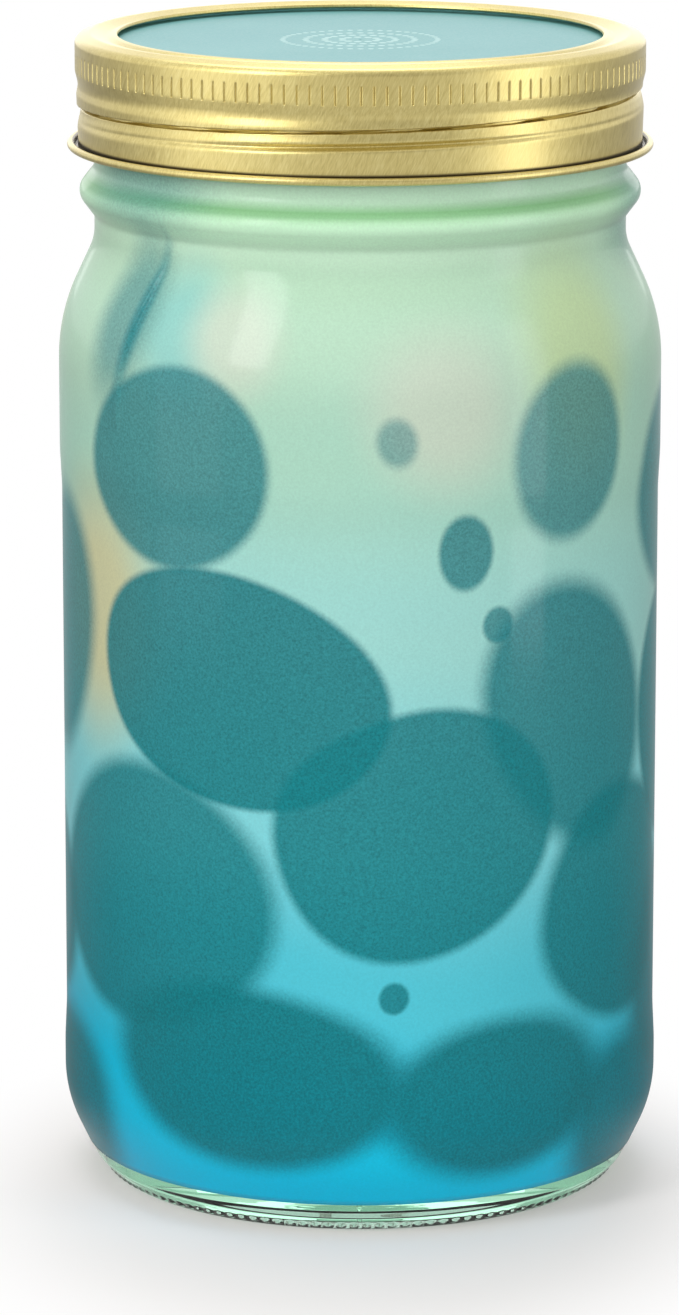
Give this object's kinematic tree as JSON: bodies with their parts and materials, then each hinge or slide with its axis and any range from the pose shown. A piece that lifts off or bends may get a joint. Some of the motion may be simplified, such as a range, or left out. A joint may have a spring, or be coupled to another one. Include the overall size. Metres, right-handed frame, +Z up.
{
  "type": "hydroponic jar planter",
  "caption": "Wide mouth glass jar in a printed sleeve, with a screw band and lid disc, and a net pot with growing medium and a wick hanging in its mouth.",
  "frame": {"origin": "on the surface that the jar stands on, at the jar's own axis", "axes": "+Z up the jar's axis, towards the lid; the front of the object looks along -Y, with +X to its right"},
  "size_m": [0.0956, 0.0956, 0.184],
  "materials": {
    "jar_glass": "clear with a faint green tint",
    "sleeve_film": "glossy printed film",
    "band_metal": "gold lacquered brushed tinplate",
    "lid_paint": "matt",
    "gasket_compound": "matt",
    "pot_steel": "satin stainless",
    "coir": "loose fibre",
    "wick_felt": "felt",
    "packet_paper": "kraft paper",
    "sachet_film": "sealed pouch"
  },
  "bodies": {
    "jar": {"jar": "jar_glass", "printed_sleeve": "sleeve_film"},
    "lid": {"lid_disc": "lid_paint", "lid_gasket": "gasket_compound"},
    "band": {"screw_band": "band_metal"},
    "pot": {"net_pot": "pot_steel", "growing_medium": "coir", "wick": "wick_felt"},
    "contents": {"seed_packet": "packet_paper", "plant_food_sachet": "sachet_film"}
  },
  "joints": [
    {"name": "lid_lift", "type": "slide", "parent": "jar", "child": "lid", "axis": [0, 0, 1], "range_m": [0, 0.0763]},
    {"name": "band_turn", "type": "hinge", "parent": "lid", "child": "band", "pos_m": [0, 0, 0.175], "axis": [0, 0, 1], "range_deg": [0, 4320]},
    {"name": "contents_lift", "type": "slide", "parent": "jar", "child": "contents", "axis": [0, 0, 1], "range_m": [0, 0.0721]},
    {"name": "pot_lift", "type": "slide", "parent": "jar", "child": "pot", "axis": [0, 0, 1], "range_m": [0, 0.0621]}
  ],
  "couplings": [
    {"joint": "lid_lift", "follows": "band_turn", "m_per_rad": 0.0010106},
    {"joint": "contents_lift", "follows": "band_turn", "m_per_rad": 0.00095493},
    {"joint": "pot_lift", "follows": "band_turn", "m_per_rad": 0.0008223}
  ]
}
